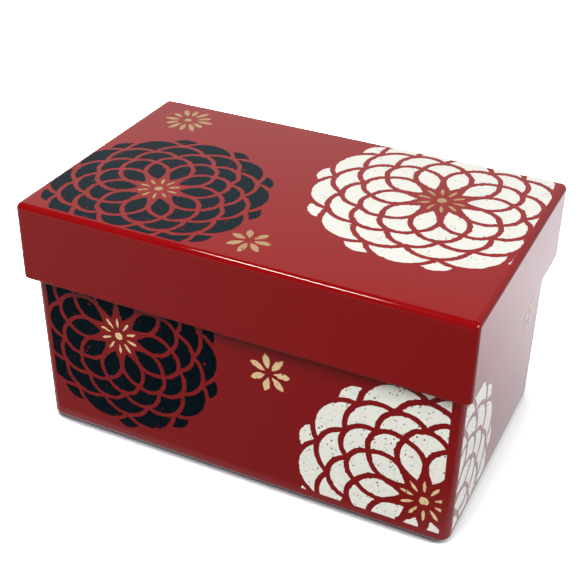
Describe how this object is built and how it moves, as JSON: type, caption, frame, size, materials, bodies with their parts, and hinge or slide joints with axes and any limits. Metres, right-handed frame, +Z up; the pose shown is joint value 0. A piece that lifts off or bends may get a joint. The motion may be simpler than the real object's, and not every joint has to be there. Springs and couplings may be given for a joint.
{
  "type": "bento box",
  "caption": "Lacquer-look bento box: a deep overlapping lid lifts off a lower box that holds a drop-in side-dish tray with a sealed lid and removable dividers.",
  "frame": {"origin": "centre of the underside, on the surface that the box stands on", "axes": "+X along the length, to the right as seen from the front, +Z up, the front faces -Y"},
  "size_m": [0.1802, 0.1112, 0.1],
  "materials": {
    "red_lacquer": "sprayed urethane lacquer, glossy",
    "tray_resin": "moulded, satin",
    "divider_resin": "moulded, satin",
    "frosted_resin": "moulded, frosted",
    "silicone": "moulded, matt",
    "black_print": "screen-printed ink",
    "white_print": "screen-printed ink",
    "gold_print": "screen-printed metallic ink"
  },
  "bodies": {
    "lower_box": {"lower_box": "red_lacquer"},
    "rice_divider": {"rice_divider": "divider_resin"},
    "side_dish_tray": {"side_dish_tray": "tray_resin"},
    "tray_divider": {"tray_divider": "divider_resin"},
    "tray_lid": {"tray_lid": "frosted_resin", "tray_gasket": "silicone"},
    "outer_lid": {"outer_lid": "red_lacquer"}
  },
  "joints": [
    {"name": "rice_divider_lift", "type": "slide", "parent": "lower_box", "child": "rice_divider", "axis": [0, 0, 1], "range_m": [0, 0.09]},
    {"name": "tray_lift", "type": "slide", "parent": "rice_divider", "child": "side_dish_tray", "axis": [0, 0, 1], "range_m": [0, 0.05]},
    {"name": "tray_divider_lift", "type": "slide", "parent": "side_dish_tray", "child": "tray_divider", "axis": [0, 0, 1], "range_m": [0, 0.045]},
    {"name": "tray_lid_lift", "type": "slide", "parent": "tray_divider", "child": "tray_lid", "axis": [0, 0, 1], "range_m": [0, 0.03]},
    {"name": "outer_lid_lift", "type": "slide", "parent": "tray_lid", "child": "outer_lid", "axis": [0, 0, 1], "range_m": [0, 0.06]}
  ]
}
